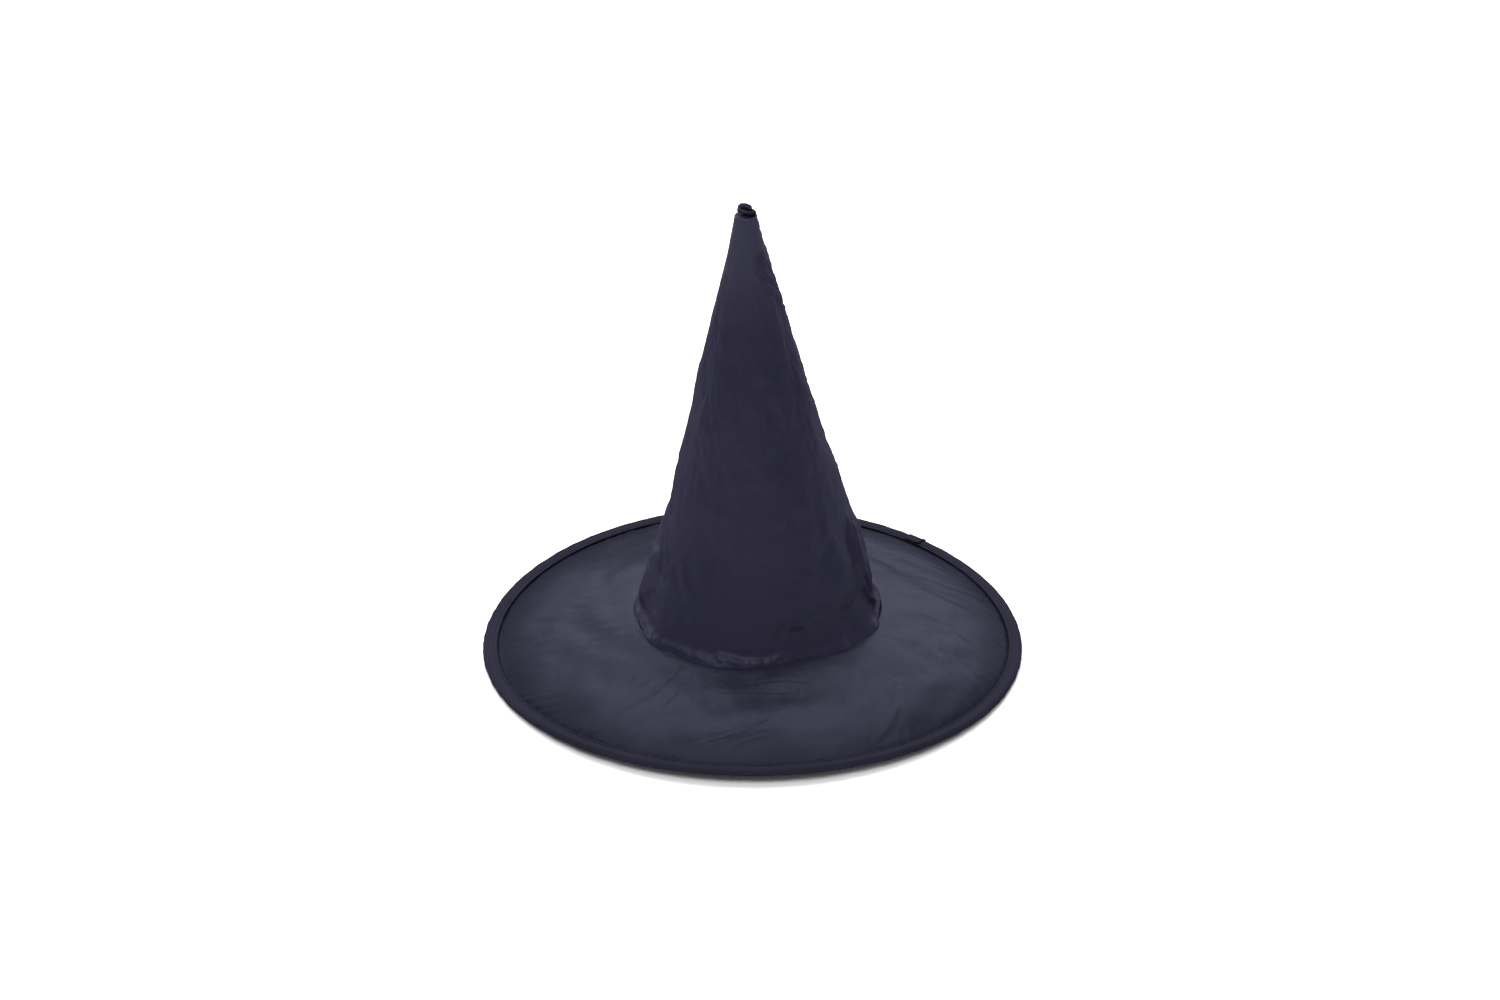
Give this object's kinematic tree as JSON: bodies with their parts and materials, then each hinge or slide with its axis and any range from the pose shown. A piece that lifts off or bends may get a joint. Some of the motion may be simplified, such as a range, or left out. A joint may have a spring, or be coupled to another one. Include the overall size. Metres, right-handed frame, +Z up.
{
  "type": "witch hat",
  "caption": "Pointed cloth hat: a sewn satin cone with a knotted tip on a wide round brim held out by a hoop inside a taped edge, with an open head band underneath.",
  "frame": {"origin": "centre of the circle that the rim rests on, at the bottom of the hat's box", "axes": "+Z up the crown towards the knot; -Y is the front that faced the viewer; +X is the viewer's right, where the crown's seam runs"},
  "size_m": [0.38, 0.38, 0.34],
  "materials": {
    "satin": "satin",
    "tape": "satin",
    "felt": "matte",
    "non_woven": "matte",
    "thread": "satin",
    "hoop_plastic": "satin"
  },
  "bodies": {
    "hat_base": {"brim_top_cloth": "satin", "brim_interlining": "felt", "brim_under_cloth": "satin", "rim_hoop": "hoop_plastic", "rim_hoop_sleeve": "hoop_plastic", "rim_tape": "tape", "rim_tape_lap": "tape", "rim_thread": "thread", "head_seam_allowance": "satin", "head_seam_tape": "tape", "head_seam_thread": "thread", "crown_cloth_lower": "satin", "crown_interfacing_lower": "non_woven", "crown_seam_lower": "satin", "crown_cloth_bend": "satin", "crown_interfacing_bend": "non_woven", "crown_seam_bend": "satin"},
    "hat_peak": {"crown_cloth_peak": "satin", "crown_interfacing_peak": "non_woven", "crown_seam_peak": "satin", "tip_gather": "satin", "tip_thread": "thread", "tip_knot": "satin"}
  },
  "joints": [
    {"name": "peak_bend", "type": "hinge", "parent": "hat_base", "child": "hat_peak", "pos_m": [0, 0, 0.215], "axis": [0, 1, 0], "range_deg": [-60, 60], "deforming": ["crown_cloth_bend", "crown_interfacing_bend", "crown_seam_bend"]}
  ]
}
